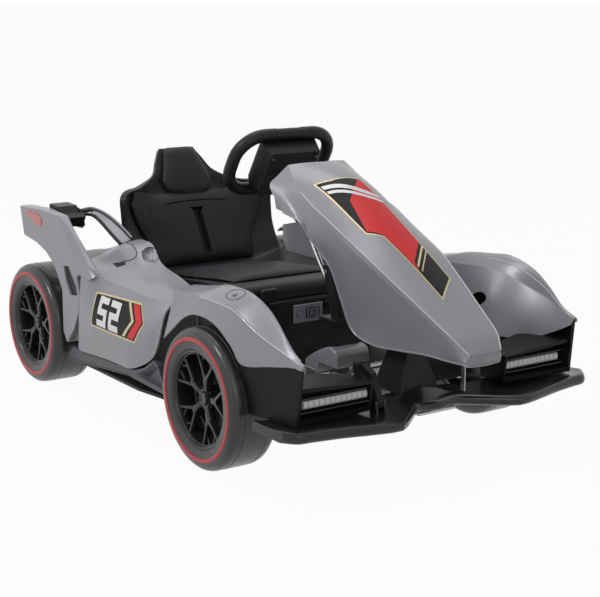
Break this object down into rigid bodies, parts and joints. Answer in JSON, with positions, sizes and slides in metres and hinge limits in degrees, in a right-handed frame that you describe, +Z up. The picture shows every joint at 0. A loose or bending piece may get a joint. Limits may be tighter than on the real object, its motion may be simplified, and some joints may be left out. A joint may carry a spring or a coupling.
{
  "type": "electric ride-on go-kart",
  "caption": "Battery ride-on go-kart for a child: arched silver bonnet, front fenders with light bars, bucket seat, swept rear fins and a steering wheel linked to the front wheels.",
  "frame": {"origin": "on the ground under the middle of the length and the width", "axes": "+Z up, -Y to the front, +X to the driver's left"},
  "size_m": [0.715, 1.1979, 0.5711],
  "materials": {
    "silver_plastic": "painted silver grey, satin gloss",
    "black_plastic": "fine grained",
    "gloss_black_plastic": "gloss",
    "dark_grey_plastic": "satin",
    "light_grey_plastic": "satin",
    "steel": "zinc plated",
    "tyre_plastic": "moulded hard plastic tread",
    "vinyl": "synthetic seat cover",
    "red_lens": "clear red lens",
    "clear_lens": "frosted clear lens"
  },
  "bodies": {
    "chassis": {"floor_pan": "black_plastic", "seat_base": "black_plastic", "battery": "dark_grey_plastic", "control_box": "black_plastic", "control_plate": "light_grey_plastic", "charge_socket": "black_plastic", "column_post": "black_plastic", "column_boot": "black_plastic", "column_pedestal": "silver_plastic", "hood": "silver_plastic", "nose_bracket": "black_plastic", "fender_left": "silver_plastic", "fender_right": "silver_plastic", "side_body_left": "silver_plastic", "side_body_right": "silver_plastic", "tail_light_left": "red_lens", "tail_light_right": "red_lens", "roll_strut_left": "black_plastic", "roll_strut_right": "black_plastic", "skirt_left": "dark_grey_plastic", "skirt_right": "dark_grey_plastic", "headlight_housing_left": "black_plastic", "headlight_housing_right": "black_plastic", "led_bar_left": "clear_lens", "led_bar_right": "clear_lens", "splitter": "gloss_black_plastic", "rear_deck": "black_plastic", "rear_bumper": "black_plastic", "rear_axle": "steel", "gearbox_left": "dark_grey_plastic", "gearbox_right": "dark_grey_plastic", "axle_bracket_left": "steel", "axle_bracket_right": "steel", "front_beam": "steel"},
    "steering_wheel": {"steering_rim": "black_plastic", "steering_hub": "black_plastic", "steering_shaft": "steel"},
    "horn": {"horn_button": "light_grey_plastic"},
    "music": {"music_button": "light_grey_plastic"},
    "knuckle_left": {"knuckle_left": "steel"},
    "knuckle_right": {"knuckle_right": "steel"},
    "tie_bar": {"tie_bar": "steel"},
    "seat": {"seat_shell": "black_plastic", "seat_cushion": "vinyl", "seat_back_pad": "vinyl", "headrest_pad": "vinyl"},
    "seat_lock": {"seat_lock_lever": "black_plastic"},
    "pedal": {"accelerator_pedal": "black_plastic"},
    "power": {"power_button": "black_plastic"},
    "direction": {"direction_switch": "gloss_black_plastic"},
    "wheel_front_left": {"tyre_front_left": "tyre_plastic", "rim_front_left": "gloss_black_plastic"},
    "wheel_front_right": {"tyre_front_right": "tyre_plastic", "rim_front_right": "gloss_black_plastic"},
    "wheel_rear_left": {"tyre_rear_left": "tyre_plastic", "rim_rear_left": "gloss_black_plastic"},
    "wheel_rear_right": {"tyre_rear_right": "tyre_plastic", "rim_rear_right": "gloss_black_plastic"}
  },
  "joints": [
    {"name": "steering_turn", "type": "hinge", "parent": "chassis", "child": "steering_wheel", "pos_m": [0, 0.0243, 0.505], "axis": [0, 0.6163, 0.7875], "range_deg": [-25, 25]},
    {"name": "kingpin_left", "type": "hinge", "parent": "chassis", "child": "knuckle_left", "pos_m": [0.235, -0.2427, 0.13], "axis": [0, 0, 1], "range_deg": [-21.5, 21.5]},
    {"name": "kingpin_right", "type": "hinge", "parent": "chassis", "child": "knuckle_right", "pos_m": [-0.235, -0.2427, 0.13], "axis": [0, 0, 1], "range_deg": [-21.5, 21.5]},
    {"name": "tie_bar_pivot", "type": "hinge", "parent": "knuckle_left", "child": "tie_bar", "pos_m": [0.235, -0.1927, 0.119], "axis": [0, 0, 1], "range_deg": [-21.5, 21.5]},
    {"name": "front_wheel_left", "type": "hinge", "parent": "knuckle_left", "child": "wheel_front_left", "pos_m": [0.3075, -0.2427, 0.13], "axis": [1, 0, 0], "continuous": true},
    {"name": "rear_wheel_left", "type": "hinge", "parent": "chassis", "child": "wheel_rear_left", "pos_m": [0.3075, 0.4689, 0.13], "axis": [1, 0, 0], "continuous": true},
    {"name": "front_wheel_right", "type": "hinge", "parent": "knuckle_right", "child": "wheel_front_right", "pos_m": [-0.3075, -0.2427, 0.13], "axis": [1, 0, 0], "continuous": true},
    {"name": "rear_wheel_right", "type": "hinge", "parent": "chassis", "child": "wheel_rear_right", "pos_m": [-0.3075, 0.4689, 0.13], "axis": [1, 0, 0], "continuous": true},
    {"name": "horn_push", "type": "slide", "parent": "steering_wheel", "child": "horn", "axis": [0, -0.8392, -0.5438], "range_m": [0, 0.0015], "stiffness_N_per_m": 300, "springref_m": -0.001},
    {"name": "music_push", "type": "slide", "parent": "steering_wheel", "child": "music", "axis": [0, -0.8392, -0.5438], "range_m": [0, 0.0015], "stiffness_N_per_m": 300, "springref_m": -0.001},
    {"name": "power_push", "type": "slide", "parent": "chassis", "child": "power", "axis": [0, 1, 0], "range_m": [0, 0.0015], "stiffness_N_per_m": 300, "springref_m": -0.001},
    {"name": "direction_rock", "type": "hinge", "parent": "chassis", "child": "direction", "pos_m": [0.07, -0.0442, 0.214], "axis": [1, 0, 0], "range_deg": [-8, 8]},
    {"name": "pedal_press", "type": "hinge", "parent": "chassis", "child": "pedal", "pos_m": [-0.13, -0.4787, 0.146], "axis": [1, 0, 0], "range_deg": [0, 12], "stiffness_Nm_per_rad": 0.8, "springref_deg": -6.88},
    {"name": "seat_tilt", "type": "hinge", "parent": "chassis", "child": "seat", "pos_m": [0, 0.3573, 0.236], "axis": [-1, 0, 0], "range_deg": [0, 14]},
    {"name": "seat_lock_turn", "type": "hinge", "parent": "chassis", "child": "seat_lock", "pos_m": [-0.072, -0.0462, 0.229], "axis": [1, 0, 0], "range_deg": [0, 30]}
  ],
  "couplings": [
    {"joint": "kingpin_left", "follows": "steering_turn", "ratio": 0.85},
    {"joint": "kingpin_right", "follows": "steering_turn", "ratio": 0.85},
    {"joint": "tie_bar_pivot", "follows": "steering_turn", "ratio": -0.85}
  ]
}
